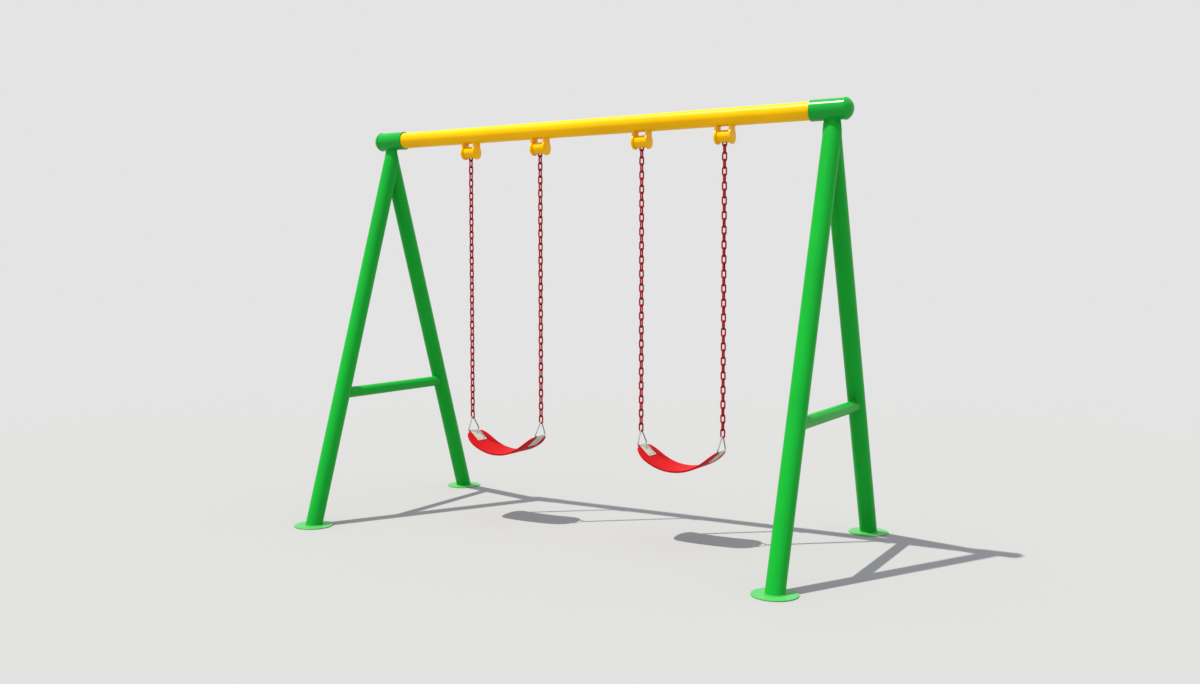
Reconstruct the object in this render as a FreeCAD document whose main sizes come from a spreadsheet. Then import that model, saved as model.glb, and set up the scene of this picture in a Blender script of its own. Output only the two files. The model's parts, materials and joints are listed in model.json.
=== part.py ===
"""Two-seat playground swing set.

Two A-frames of tube carry a round top beam.  Four bearing hangers are welded under the
beam, and each carries one chain.  Two chains end in the triangular rings of one belt seat.

Frame of the model: X runs along the beam, Y from front to back, Z up, millimetres.
The origin is on the ground, midway between the A-frames and under the beam.
"""
import FreeCAD
import Part
import Sketcher
import math
import os

Vector = FreeCAD.Vector
Rotation = FreeCAD.Rotation
Placement = FreeCAD.Placement

document = FreeCAD.newDocument("swing_set")

# ---------------------------------------------------------------- driving dimensions

DIMENSIONS = {
    # A-frames and beam
    "frame_half_span": 1330,
    "leg_half_spread": 677,
    "leg_apex_height": 2015,
    "leg_diameter": 88.9,
    "leg_wall": 3.2,
    "leg_overrun": 160,
    "brace_height": 702,
    "brace_diameter": 60.3,
    "brace_wall": 2.9,
    "flange_diameter": 206,
    "flange_thickness": 6,
    "beam_height": 2136,
    "beam_diameter": 88.9,
    "beam_wall": 4,
    "beam_half_length": 1388,
    # sleeves that join the beam to the A-frames
    "sleeve_inner_end": 1228,
    "sleeve_outer_end": 1392,
    "sleeve_diameter": 101.6,
    "sleeve_bore": 89.5,
    "cap_diameter": 106,
    "cap_rim": 7,
    "cap_tip": 1433,
    "cap_wall": 3,
    "cap_spigot_depth": 3,
    "cap_spigot_diameter": 88.9,
    "screw_diameter": 12,
    "screw_length": 9,
    "screw_spacing": 90,
    "screw_socket": 6,
    "screw_socket_depth": 5,
    "screw_gap": 0.05,
    # hangers
    "swing_centre": 540,
    "swing_shift": 14.4,
    "chain_half_spacing": 230.5,
    "pivot_height": 2043,
    "cheek_gap": 66,
    "cheek_thickness": 11,
    "cheek_neck_half_width": 28,
    "cheek_disc_radius": 39,
    "pin_diameter": 17,
    "barrel_diameter": 62,
    "barrel_end_gap": 1,
    "barrel_inner_bore": 26,
    "bearing_bore": 17,
    "bearing_outer_diameter": 40,
    "bearing_width": 12,
    "bearing_inner_race": 23.6,
    "bearing_outer_race": 33.4,
    "bearing_ball": 6.7,
    "bearing_ball_count": 8,
    "race_gap": 0.1,
    # chains
    "link_wire": 8,
    "link_width": 28,
    "link_clearance": 0.1,
    "link_count": 40,
    "eye_bottom_height": 1995,
    "last_link_bottom_height": 551,
    # triangular rings
    "ring_wire": 7,
    "ring_half_width": 46.5,
    "ring_apex_radius": 10,
    "ring_corner_radius": 10,
    # belt seats
    "belt_centre_height": 649,
    "belt_middle_radius": 275,
    "belt_thickness": 10,
    "belt_width": 208,
    "belt_arc_angle": 42,
    "belt_fold_reach": 223,
    "belt_end_gap": 6.5,
    "belt_corner_start": 152,
    "belt_corner_radius": 71,
    "belt_trim_margin": 1,
    "insert_thickness": 1.2,
    "insert_width": 120,
    "insert_angle": 41,
    "plate_thickness": 2,
    "plate_width": 80,
    "plate_angle": 36.5,
    "bar_play": 0.6,
    "rivet_diameter": 6,
    "rivet_head_diameter": 12,
    "rivet_head_height": 2.6,
    "rivet_pair_angle": 39.2,
    "rivet_pair_spacing": 36,
    "rivet_single_reach": 25,
    "rivet_seat_gap": 0.07,
    "rivet_hole_overrun": 20,
}

sizes = document.addObject("Spreadsheet::Sheet", "Sizes")
for row, (alias, number) in enumerate(DIMENSIONS.items(), start=1):
    sizes.set(f"A{row}", alias)
    sizes.set(f"B{row}", str(number))
    sizes.setAlias(f"B{row}", alias)
document.recompute()


def bound(expression):
    """An expression in which every dimension name points at its cell."""
    words = []
    word = ""
    for letter in expression + " ":
        if letter.isalnum() or letter == "_":
            word += letter
            continue
        words.append(f"Sizes.{word}" if word in DIMENSIONS else word)
        words.append(letter)
        word = ""
    return "".join(words).strip()


def value(expression):
    """The number that an expression has with the present sheet, in mm or degrees."""
    result = sizes.evalExpression(bound(expression))
    return float(getattr(result, "Value", result))


# ------------------------------------------------------------------ building helpers

nodes = []


def node(part, label):
    """Marks an object as one sub-part, named by its label."""
    part.Label = label
    nodes.append(part)
    return part


def place(part, x=0.0, y=0.0, z=0.0, axis=Vector(0, 0, 1), angle=0.0):
    """Puts an object at a point, turned about an axis through that point."""
    part.Placement = Placement(Vector(x, y, z), Rotation(axis, angle))
    return part


def new_body(name):
    """An empty body; AllowCompound lets it hold several separate solids."""
    body = document.addObject("PartDesign::Body", name)
    body.AllowCompound = True
    return body


def datum(body, role):
    """One of a body's own origin planes or axes."""
    return next(feature for feature in body.Origin.OriginFeatures if feature.Role == role)


def new_sketch(body, plane, name):
    """A sketch on one of the body's own origin planes."""
    sketch = body.newObject("Sketcher::SketchObject", name)
    sketch.AttachmentSupport = [(datum(body, plane), "")]
    sketch.MapMode = "FlatFace"
    return sketch


def bind_constraint(sketch, kind, *arguments, expression):
    """Adds one dimension to a sketch and ties it to the sheet."""
    constraint = Sketcher.Constraint(kind, *arguments, value(expression))
    index = sketch.addConstraint(constraint)
    sketch.setExpression(f"Constraints[{index}]", bound(expression))


def pin_point(sketch, geometry, position, across, up):
    """Fixes one point of a sketch by its distances from the sketch's origin."""
    bind_constraint(sketch, "DistanceX", -1, 1, geometry, position, expression=across)
    bind_constraint(sketch, "DistanceY", -1, 1, geometry, position, expression=up)


def draw_circle(sketch, diameter, across="0", up="0"):
    """A full circle of a bound diameter, with a bound centre."""
    centre = Vector(value(across), value(up), 0)
    circle = Part.Circle(centre, Vector(0, 0, 1), value(diameter) / 2)
    index = sketch.addGeometry(circle)
    bind_constraint(sketch, "Diameter", index, expression=diameter)
    if value(across) == 0 and value(up) == 0:
        sketch.addConstraint(Sketcher.Constraint("Coincident", index, 3, -1, 1))
    else:
        pin_point(sketch, index, 3, across, up)


def draw_outline(sketch, corners, arcs=None, closed=True):
    """Lines and arcs through corners given as pairs of expressions.

    arcs maps the number of a side to the pair of expressions of its centre and to +1
    where the side turns anticlockwise, -1 where it turns clockwise.
    """
    arcs = arcs or {}
    points = [Vector(value(across), value(up), 0) for across, up in corners]
    count = len(points) if closed else len(points) - 1
    sides = []
    for side in range(count):
        start = points[side]
        end = points[(side + 1) % len(points)]
        if side not in arcs:
            sides.append((sketch.addGeometry(Part.LineSegment(start, end)), 1, 2))
            continue
        across, up, turn = arcs[side]
        centre = Vector(value(across), value(up), 0)
        first, last = (start, end) if turn > 0 else (end, start)
        circle = Part.Circle(centre, Vector(0, 0, 1), (first - centre).Length)
        first_angle = math.atan2(first.y - centre.y, first.x - centre.x)
        last_angle = math.atan2(last.y - centre.y, last.x - centre.x)
        arc = Part.ArcOfCircle(circle, first_angle, last_angle)
        begin, finish = (1, 2) if turn > 0 else (2, 1)
        sides.append((sketch.addGeometry(arc), begin, finish))
    for side, (geometry, begin, _) in enumerate(sides):
        pin_point(sketch, geometry, begin, *corners[side])
        if side > 0 or closed:
            previous, _, finish = sides[side - 1]
            joined = Sketcher.Constraint("Coincident", previous, finish, geometry, begin)
            sketch.addConstraint(joined)
        if side in arcs:
            across, up, _ = arcs[side]
            chord = points[(side + 1) % len(points)] - points[side]
            if abs(chord.x) > abs(chord.y):
                bind_constraint(sketch, "DistanceY", -1, 1, geometry, 3, expression=up)
            else:
                bind_constraint(sketch, "DistanceX", -1, 1, geometry, 3, expression=across)
    if not closed:
        geometry, _, finish = sides[-1]
        pin_point(sketch, geometry, finish, *corners[-1])


def pad(body, sketch, length, name, midplane=False, backwards=False):
    """Extrudes a sketch by a bound length."""
    feature = body.newObject("PartDesign::Pad", name)
    feature.Profile = sketch
    feature.Length = value(length)
    feature.setExpression("Length", bound(length))
    feature.Midplane = midplane
    feature.Reversed = backwards
    return feature


def revolve(body, sketch, axis, name):
    """Turns a sketch through a full circle about one of the body's axes."""
    feature = body.newObject("PartDesign::Revolution", name)
    feature.Profile = sketch
    feature.ReferenceAxis = (datum(body, axis), [""])
    feature.Angle = 360
    return feature


def sweep(body, section, path, name):
    """Sweeps a section along every side of an open path."""
    document.recompute()
    feature = body.newObject("PartDesign::AdditivePipe", name)
    feature.Profile = section
    feature.Spine = (path, [f"Edge{side + 1}" for side in range(len(path.Shape.Edges))])
    return feature


def mirror(body, feature, plane, name):
    """Adds the mirror image of a feature and makes it the body's result."""
    image = body.newObject("PartDesign::Mirrored", name)
    image.Originals = [feature]
    image.MirrorPlane = (datum(body, plane), [""])
    body.Tip = image
    return image


def cylinder(name, diameter, height):
    """A plain cylinder that stands on its base circle."""
    solid = document.addObject("Part::Cylinder", name)
    solid.setExpression("Radius", bound(f"({diameter}) / 2"))
    solid.setExpression("Height", bound(height))
    return solid


def cut(name, base, tool):
    """The base with the tool taken away."""
    result = document.addObject("Part::Cut", name)
    result.Base = base
    result.Tool = tool
    return result


def common(name, base, tool):
    """What the base and the tool share."""
    result = document.addObject("Part::Common", name)
    result.Base = base
    result.Tool = tool
    return result


def group(name, members):
    """Several separate solids in one object."""
    result = document.addObject("Part::Compound", name)
    result.Links = members
    return result


def tube_body(name, outer, bore, length, midplane=True):
    """A round tube along X, centred on its length or starting at the body's origin."""
    body = new_body(name)
    section = new_sketch(body, "YZ_Plane", f"{name}_section")
    draw_circle(section, outer)
    draw_circle(section, bore)
    pad(body, section, length, f"{name}_pad", midplane=midplane)
    return body


SIDES = {"left": -1, "right": 1}
ENDS = {"front": -1, "back": 1}

# --------------------------------------------------------------------- beam and sleeves

beam_height = value("beam_height")
frame_half_span = value("frame_half_span")

beam_bore = "beam_diameter - 2 * beam_wall"
beam = tube_body("beam_tube", "beam_diameter", beam_bore, "2 * beam_half_length")
node(place(beam, z=beam_height), "beam_tube")


def make_set_screws(side, sign):
    """Two socket set screws behind a sleeve, screwed forwards onto the beam."""
    body = new_body(f"set_screws_{side}")
    section = new_sketch(body, "XZ_Plane", f"set_screws_{side}_section")
    socket = new_sketch(body, "XZ_Plane", f"set_screws_{side}_socket")
    socket.AttachmentOffset = Placement(Vector(0, 0, -value("screw_length")), Rotation())
    for offset in ("-screw_spacing / 2", "screw_spacing / 2"):
        draw_circle(section, "screw_diameter", across=offset)
        draw_circle(socket, "screw_socket", across=offset)
    pad(body, section, "screw_length", f"set_screws_{side}_pad", backwards=True)
    recess = body.newObject("PartDesign::Pocket", f"set_screws_{side}_recess")
    recess.Profile = socket
    recess.setExpression("Length", bound("screw_socket_depth"))
    body.Tip = recess
    middle = sign * value("(sleeve_inner_end + sleeve_outer_end) / 2")
    return place(body, x=middle, y=value("beam_diameter / 2 + screw_gap"), z=beam_height)


def make_sleeve(side, sign):
    """A short tube that holds one end of the beam, drilled for its two set screws."""
    name = f"sleeve_{side}"
    length = "sleeve_outer_end - sleeve_inner_end"
    body = tube_body(f"{name}_tube", "sleeve_diameter", "sleeve_bore", length)
    middle = sign * value("(sleeve_inner_end + sleeve_outer_end) / 2")
    place(body, x=middle, z=beam_height)
    drills = []
    for number, offset in enumerate((-0.5, 0.5), start=1):
        drill = cylinder(f"{name}_drill_{number}", "screw_diameter", "sleeve_diameter")
        x = middle + offset * value("screw_spacing")
        drills.append(place(drill, x=x, z=beam_height, axis=Vector(1, 0, 0), angle=-90))
    return cut(name, body, group(f"{name}_drills", drills))


def make_end_cap(side, sign):
    """A domed cap: a rim that covers the sleeve's end, a dome and a short spigot."""
    body = new_body(f"end_cap_{side}")
    outline = new_sketch(body, "XZ_Plane", f"end_cap_{side}_outline")
    dome_start = "sleeve_outer_end + cap_rim"
    dome_rise = "(cap_tip - sleeve_outer_end - cap_rim)"
    dome_radius = f"((cap_diameter / 2)^2 + {dome_rise}^2) / (2 * {dome_rise})"
    inner_radius = f"({dome_radius} - cap_wall)"
    centre = f"cap_tip - {dome_radius}"
    spigot = "cap_spigot_diameter / 2"
    spigot_bore = "(cap_spigot_diameter / 2 - cap_wall)"
    spigot_end = "sleeve_outer_end - cap_spigot_depth"
    inner_start = f"{centre} + sqrt({inner_radius}^2 - {spigot_bore}^2)"
    corners = [
        (spigot_end, spigot),
        ("sleeve_outer_end", spigot),
        ("sleeve_outer_end", "cap_diameter / 2"),
        (dome_start, "cap_diameter / 2"),
        ("cap_tip", "0"),
        ("cap_tip - cap_wall", "0"),
        (inner_start, spigot_bore),
        (spigot_end, spigot_bore),
    ]
    arcs = {3: (centre, "0", -1), 5: (centre, "0", 1)}
    draw_outline(outline, corners, arcs)
    revolve(body, outline, "X_Axis", f"end_cap_{side}_dome")
    turn = 0 if sign > 0 else 180
    return place(body, z=beam_height, angle=turn)


screw_sets = []
for side, sign in SIDES.items():
    node(make_sleeve(side, sign), f"sleeve_{side}")
    node(make_end_cap(side, sign), f"end_cap_{side}")
    screw_sets.append(make_set_screws(side, sign))
node(group("sleeve_set_screws", screw_sets), "sleeve_set_screws")

# ------------------------------------------------------------------------------ A-frames

leg_lean = math.degrees(math.atan2(value("leg_half_spread"), value("leg_apex_height")))
leg_overrun = value("leg_overrun")


def leg_axis_cylinder(name, diameter, sign, end_sign):
    """A cylinder along one leg's centre line, longer than the leg at both ends."""
    solid = cylinder(name, diameter, "leg_apex_height + 3 * leg_overrun")
    below = leg_overrun * math.tan(math.radians(leg_lean))
    y = end_sign * (value("leg_half_spread") + below)
    return place(
        solid,
        x=sign * frame_half_span,
        y=y,
        z=-leg_overrun,
        axis=Vector(1, 0, 0),
        angle=end_sign * leg_lean,
    )


def make_leg(side, sign, end, end_sign):
    """One leg tube, standing on its flange, mitred against its twin and coped to the sleeve."""
    name = f"leg_{side}_{end}"
    rod = leg_axis_cylinder(f"{name}_rod", "leg_diameter", sign, end_sign)
    bore = leg_axis_cylinder(f"{name}_bore", "leg_diameter - 2 * leg_wall", sign, end_sign)
    tube = cut(f"{name}_tube", rod, bore)
    room = document.addObject("Part::Box", f"{name}_room")
    room.setExpression("Length", bound("2 * leg_diameter"))
    room.setExpression("Width", bound("leg_half_spread + leg_diameter"))
    room.setExpression("Height", bound("beam_height - flange_thickness"))
    y = 0.0 if end_sign > 0 else -value("leg_half_spread + leg_diameter")
    place(room, x=sign * frame_half_span - value("leg_diameter"), y=y, z=value("flange_thickness"))
    mitred = common(f"{name}_mitred", tube, room)
    saddle = cylinder(f"{name}_saddle", "sleeve_diameter", "2 * sleeve_outer_end")
    place(saddle, x=-value("sleeve_outer_end"), z=beam_height, axis=Vector(0, 1, 0), angle=90)
    return cut(name, mitred, saddle)


def make_flange(side, sign, end, end_sign):
    """The round plate that a leg is welded to."""
    name = f"flange_{side}_{end}"
    body = new_body(name)
    section = new_sketch(body, "XY_Plane", f"{name}_section")
    draw_circle(section, "flange_diameter")
    pad(body, section, "flange_thickness", f"{name}_pad")
    return place(body, x=sign * frame_half_span, y=end_sign * value("leg_half_spread"))


def make_brace(side, sign):
    """The cross tube between the two legs of one A-frame, coped to both."""
    name = f"brace_{side}"
    reach = "leg_half_spread * (1 - brace_height / leg_apex_height)"
    rod = cylinder(f"{name}_rod", "brace_diameter", f"2 * {reach}")
    bore = cylinder(f"{name}_bore", "brace_diameter - 2 * brace_wall", f"2 * {reach}")
    for solid in (rod, bore):
        place(
            solid,
            x=sign * frame_half_span,
            y=-value(reach),
            z=value("brace_height"),
            axis=Vector(1, 0, 0),
            angle=-90,
        )
    tube = cut(f"{name}_tube", rod, bore)
    for end, end_sign in ENDS.items():
        cope = leg_axis_cylinder(f"{name}_cope_{end}", "leg_diameter", sign, end_sign)
        tube = cut(f"{name}_coped_{end}", tube, cope)
    return tube


for side, sign in SIDES.items():
    for end, end_sign in ENDS.items():
        node(make_leg(side, sign, end, end_sign), f"leg_{side}_{end}")
        node(make_flange(side, sign, end, end_sign), f"flange_{side}_{end}")
    node(make_brace(side, sign), f"brace_{side}")

# ------------------------------------------------------------------------------- hangers

swing_centres = [
    value("swing_shift - swing_centre"),
    value("swing_shift + swing_centre"),
]
chain_lines = []
for centre in swing_centres:
    chain_lines.append(centre - value("chain_half_spacing"))
    chain_lines.append(centre + value("chain_half_spacing"))

pivot_height = value("pivot_height")


def make_cheeks(name, x):
    """Two keyhole plates under the beam, coped to it, with a hole for the pin."""
    body = new_body(name)
    outline = new_sketch(body, "YZ_Plane", f"{name}_outline")
    outline.AttachmentOffset = Placement(Vector(0, 0, value("cheek_gap / 2")), Rotation())
    beam_above = "(beam_height - pivot_height)"
    cope_height = f"{beam_above} - sqrt((beam_diameter / 2)^2 - cheek_neck_half_width^2)"
    disc_height = "sqrt(cheek_disc_radius^2 - cheek_neck_half_width^2)"
    corners = [
        ("-cheek_neck_half_width", cope_height),
        ("-cheek_neck_half_width", disc_height),
        ("cheek_neck_half_width", disc_height),
        ("cheek_neck_half_width", cope_height),
    ]
    arcs = {1: ("0", "0", 1), 3: ("0", beam_above, -1)}
    draw_outline(outline, corners, arcs)
    draw_circle(outline, "pin_diameter")
    plate = pad(body, outline, "cheek_thickness", f"{name}_plate")
    mirror(body, plate, "YZ_Plane", f"{name}_second_plate")
    return place(body, x=x, z=pivot_height)


def make_pin(name, x):
    """The fixed pivot pin, pressed into both cheeks and flush with them."""
    body = new_body(name)
    section = new_sketch(body, "YZ_Plane", f"{name}_section")
    draw_circle(section, "pin_diameter")
    pad(body, section, "cheek_gap + 2 * cheek_thickness", f"{name}_pad", midplane=True)
    return place(body, x=x, z=pivot_height)


def make_barrel(name, x):
    """The bearing housing: a tube with a seat for one bearing in each end."""
    body = new_body(name)
    outline = new_sketch(body, "XZ_Plane", f"{name}_outline")
    end = "(cheek_gap / 2 - barrel_end_gap)"
    seat = "bearing_outer_diameter / 2"
    shoulder = "barrel_inner_bore / 2"
    corners = [
        (f"-{end}", seat),
        (f"bearing_width - {end}", seat),
        (f"bearing_width - {end}", shoulder),
        (f"{end} - bearing_width", shoulder),
        (f"{end} - bearing_width", seat),
        (end, seat),
        (end, "barrel_diameter / 2"),
        (f"-{end}", "barrel_diameter / 2"),
    ]
    draw_outline(outline, corners)
    revolve(body, outline, "X_Axis", f"{name}_tube")
    return place(body, x=x, z=pivot_height)


RACE_CENTRE = "(bearing_inner_race + bearing_outer_race) / 4"
BEARING_PLACE = "(cheek_gap / 2 - barrel_end_gap - bearing_width / 2)"


def make_race(name, inner, outer, gap):
    """One bearing ring between two radii, with a ball groove that clears the balls by a gap."""
    body = new_body(name)
    outline = new_sketch(body, "XZ_Plane", f"{name}_outline")
    half = "bearing_width / 2"
    corners = [(f"-{half}", inner), (half, inner), (half, outer), (f"-{half}", outer)]
    draw_outline(outline, corners)
    revolve(body, outline, "X_Axis", f"{name}_ring")
    groove = new_sketch(body, "XZ_Plane", f"{name}_groove_outline")
    draw_circle(groove, f"bearing_ball + 2 * {gap}", up=RACE_CENTRE)
    channel = body.newObject("PartDesign::Groove", f"{name}_groove")
    channel.Profile = groove
    channel.ReferenceAxis = (datum(body, "X_Axis"), [""])
    channel.Angle = 360
    body.Tip = channel
    return body


def make_balls(name, x):
    """The balls of one bearing, evenly spaced round its axis."""
    balls = []
    count = int(value("bearing_ball_count"))
    for number in range(count):
        angle = 2 * math.pi * number / count
        ball = document.addObject("Part::Sphere", f"{name}_{number + 1}")
        ball.setExpression("Radius", bound("bearing_ball / 2"))
        radius = value(RACE_CENTRE)
        place(ball, x=x, y=radius * math.cos(angle), z=pivot_height + radius * math.sin(angle))
        balls.append(ball)
    return balls


def make_eye(name, x):
    """The half link welded under a barrel, which the chain's first link hangs in."""
    body = new_body(f"{name}_bow")
    bend = "(link_width - link_wire) / 2"
    path = new_sketch(body, "XZ_Plane", f"{name}_path")
    bend_height = f"eye_bottom_height - pivot_height + {bend}"
    corners = [(f"-{bend}", "0"), (f"-{bend}", bend_height), (bend, bend_height), (bend, "0")]
    draw_outline(path, corners, {1: ("0", bend_height, 1)}, closed=False)
    section = new_sketch(body, "XY_Plane", f"{name}_section")
    draw_circle(section, "link_wire", across=f"-{bend}")
    sweep(body, section, path, f"{name}_wire")
    place(body, x=x, z=pivot_height)
    room = cylinder(f"{name}_room", "barrel_diameter", "cheek_gap")
    place(room, x=x - value("cheek_gap / 2"), z=pivot_height, axis=Vector(0, 1, 0), angle=90)
    return cut(name, body, room)


inner_rings = []
for number, x in enumerate(chain_lines, start=1):
    name = f"hanger_{number}"
    node(make_cheeks(f"{name}_cheeks", x), f"{name}_cheeks")
    node(make_pin(f"{name}_pin", x), f"{name}_pin")
    node(make_barrel(f"{name}_barrel", x), f"{name}_barrel")
    moving = []
    for end, sign in SIDES.items():
        middle = x + sign * value(BEARING_PLACE)
        bore = "bearing_bore / 2"
        inner = make_race(f"{name}_inner_{end}", bore, "bearing_inner_race / 2", "race_gap")
        inner_rings.append(place(inner, x=middle, z=pivot_height))
        rim = "bearing_outer_diameter / 2"
        outer = make_race(f"{name}_outer_{end}", "bearing_outer_race / 2", rim, "race_gap / 2")
        moving.append(place(outer, x=middle, z=pivot_height))
        moving.extend(make_balls(f"{name}_ball_{end}", middle))
    node(group(f"{name}_bearings", moving), f"{name}_bearings")
    node(make_eye(f"{name}_eye", x), f"{name}_eye")
node(group("bearing_inner_rings", inner_rings), "bearing_inner_rings")

# -------------------------------------------------------------------------------- chains

# A link hangs from the wire of the link above, one wire diameter and a small gap higher
# than that wire, so its own height is the chain's pitch plus that step.
LINK_STEP = "(link_wire + link_clearance)"
LINK_PITCH = "((eye_bottom_height - last_link_bottom_height) / link_count)"
LINK_HEIGHT = f"({LINK_PITCH} + {LINK_STEP})"
LINK_BEND = "((link_width - link_wire) / 2)"
first_link_top = value(f"eye_bottom_height + {LINK_STEP}")
link_pitch = value(LINK_PITCH)
link_height = value(LINK_HEIGHT)
link_count = int(value("link_count"))


def make_links(name, plane, turned, count, top):
    """A row of equal links, every second one of a chain, hanging down from a height."""
    body = new_body(name)
    path = new_sketch(body, plane, f"{name}_path")
    low = f"{LINK_BEND} - {LINK_HEIGHT} / 2"
    corners = [(f"-{LINK_BEND}", "0"), (f"-{LINK_BEND}", low), (LINK_BEND, low), (LINK_BEND, "0")]
    draw_outline(path, corners, {1: ("0", low, 1)}, closed=False)
    section = new_sketch(body, "XY_Plane", f"{name}_section")
    if turned:
        draw_circle(section, "link_wire", up=f"-{LINK_BEND}")
    else:
        draw_circle(section, "link_wire", across=f"-{LINK_BEND}")
    half_link = sweep(body, section, path, f"{name}_half_link")
    links = body.newObject("PartDesign::MultiTransform", f"{name}_links")
    links.Originals = [half_link]
    image = body.newObject("PartDesign::Mirrored", f"{name}_image")
    image.MirrorPlane = (datum(body, "XY_Plane"), [""])
    steps = [image]
    if count > 1:
        row = body.newObject("PartDesign::LinearPattern", f"{name}_row")
        row.Direction = (datum(body, "Z_Axis"), [""])
        row.Reversed = True
        row.setExpression("Length", bound(f"2 * {LINK_PITCH} * {count - 1}"))
        row.Occurrences = count
        steps.append(row)
    links.Transformations = steps
    body.Tip = links
    return place(body, z=top - link_height / 2)


def make_chain(name, x):
    """All links of one chain but the last: one row edge on to the beam, one row across it."""
    lengthwise = (link_count - 1) // 2
    crosswise = link_count - 1 - lengthwise
    second_link_top = first_link_top - link_pitch
    rows = [
        make_links(f"{name}_crosswise", "YZ_Plane", True, crosswise, first_link_top),
        make_links(f"{name}_lengthwise", "XZ_Plane", False, lengthwise, second_link_top),
    ]
    for row in rows:
        row.Placement.Base.x = x
    return group(name, rows)


def make_last_link(name, x):
    """The link that the triangular ring hangs in."""
    top = first_link_top - link_pitch * (link_count - 1)
    link = make_links(name, "XZ_Plane", False, 1, top)
    link.Placement.Base.x = x
    return link


for number, x in enumerate(chain_lines, start=1):
    node(make_chain(f"chain_{number}", x), f"chain_{number}")
    node(make_last_link(f"last_link_{number}", x), f"last_link_{number}")

# --------------------------------------------------------------------------------- seats

# The belt's middle surface is an arc about a line along Y, with a straight tail at each
# end.  Places on it are given by their angle from straight down, and on a tail by the
# distance past the end of the arc as well; depth is measured outwards, away from the arc's
# centre line.
TAIL_LENGTH = (
    "((belt_fold_reach - belt_middle_radius * sin(belt_arc_angle * 1deg))"
    " / cos(belt_arc_angle * 1deg))"
)


def belt_point(angle, depth, along="0"):
    """Expressions for a point beside the belt's middle surface, right half, about its centre."""
    radius = f"(belt_middle_radius + {depth})"
    across = f"{radius} * sin({angle} * 1deg) + ({along}) * cos({angle} * 1deg)"
    up = f"-{radius} * cos({angle} * 1deg) + ({along}) * sin({angle} * 1deg)"
    return across, up


def make_strip(name, thickness, width, angle, tail):
    """A strip bent like the belt: an arc, with straight tails where they are wanted."""
    body = new_body(name)
    profile = new_sketch(body, "XZ_Plane", f"{name}_profile")
    half = f"{thickness} / 2"
    corners = []
    arcs = {}
    for depth, turn in ((f"-{half}", -1), (half, 1)):
        right = [belt_point(angle, depth)]
        if tail:
            right.insert(0, belt_point(angle, depth, tail))
        stretch = right + [(f"-({across})", up) for across, up in reversed(right)]
        if turn > 0:
            stretch.reverse()
        arcs[len(corners) + len(right) - 1] = ("0", "0", turn)
        corners += stretch
    draw_outline(profile, corners, arcs)
    pad(body, profile, width, f"{name}_pad", midplane=True)
    return body


def make_belt_blank(name):
    """The whole belt before it is pierced: bent strip with its corners rounded in plan."""
    tail = f"{TAIL_LENGTH} - belt_end_gap"
    body = make_strip(name, "belt_thickness", "belt_width", "belt_arc_angle", tail)
    start = "belt_corner_start"
    end = "belt_corner_start + belt_corner_radius"
    far = "belt_fold_reach + belt_thickness"
    edge = "belt_width / 2"
    inset = "belt_width / 2 - belt_corner_radius"
    beyond = "belt_width / 2 + belt_trim_margin"
    plan = new_sketch(body, "XY_Plane", f"{name}_plan")
    for across in ("", "-"):
        for up in ("", "-"):
            corners = [
                (f"{across}({start})", f"{up}({edge})"),
                (f"{across}({end})", f"{up}({inset})"),
                (f"{across}({far})", f"{up}({inset})"),
                (f"{across}({far})", f"{up}({beyond})"),
                (f"{across}({start})", f"{up}({beyond})"),
            ]
            turn = -1 if across == up else 1
            draw_outline(plan, corners, {0: (f"{across}({start})", f"{up}({inset})", turn)})
    trim = body.newObject("PartDesign::Pocket", f"{name}_corners")
    trim.Profile = plan
    trim.Type = "ThroughAll"
    trim.Midplane = True
    body.Tip = trim
    return body


def make_plate(name):
    """A sheet folded round the ring's bar, with one flap above and one below the belt."""
    body = new_body(name)
    profile = new_sketch(body, "XZ_Plane", f"{name}_profile")
    fold = belt_point("belt_arc_angle", "0", TAIL_LENGTH)
    inner = "belt_thickness / 2"
    outer = "(belt_thickness / 2 + plate_thickness)"
    corners = []
    arcs = {}
    for depth, turn in ((outer, 1), (inner, -1)):
        first = len(corners)
        flap = [
            belt_point("plate_angle", depth),
            belt_point("belt_arc_angle", depth),
            belt_point("belt_arc_angle", depth, TAIL_LENGTH),
            belt_point("belt_arc_angle", f"-{depth}", TAIL_LENGTH),
            belt_point("belt_arc_angle", f"-{depth}"),
            belt_point("plate_angle", f"-{depth}"),
        ]
        if turn < 0:
            flap.reverse()
        arcs[first] = ("0", "0", 1)
        arcs[first + 2] = (*fold, turn)
        arcs[first + 4] = ("0", "0", -1)
        corners += flap
    draw_outline(profile, corners, arcs)
    pad(body, profile, "plate_width", f"{name}_pad", midplane=True)
    return body


def make_rivets(name, diameter, length, headed):
    """Six rivets or plain rods across the belt: two low and one high at each end."""
    places = [
        ("rivet_pair_angle", 0.0, -0.5),
        ("rivet_pair_angle", 0.0, 0.5),
        ("belt_arc_angle", value("rivet_single_reach"), 0.0),
    ]
    rivets = []
    for side, sign in SIDES.items():
        for number, (angle_name, along, share) in enumerate(places, start=1):
            angle = math.radians(value(angle_name))
            radius = value("belt_middle_radius")
            x = sign * (radius * math.sin(angle) + along * math.cos(angle))
            z = -radius * math.cos(angle) + along * math.sin(angle)
            y = share * value("rivet_pair_spacing")
            make_one = headed_rivet if headed else plain_rod
            rivet = make_one(f"{name}_{side}_{number}", diameter, length)
            lean = -sign * value(angle_name)
            rivets.append(place(rivet, x=x, y=y, z=z, axis=Vector(0, 1, 0), angle=lean))
    return rivets


def plain_rod(name, diameter, length):
    """A rod along Z, centred on the body's origin."""
    body = new_body(name)
    section = new_sketch(body, "XY_Plane", f"{name}_section")
    draw_circle(section, diameter)
    pad(body, section, length, f"{name}_pad", midplane=True)
    return body


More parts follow.
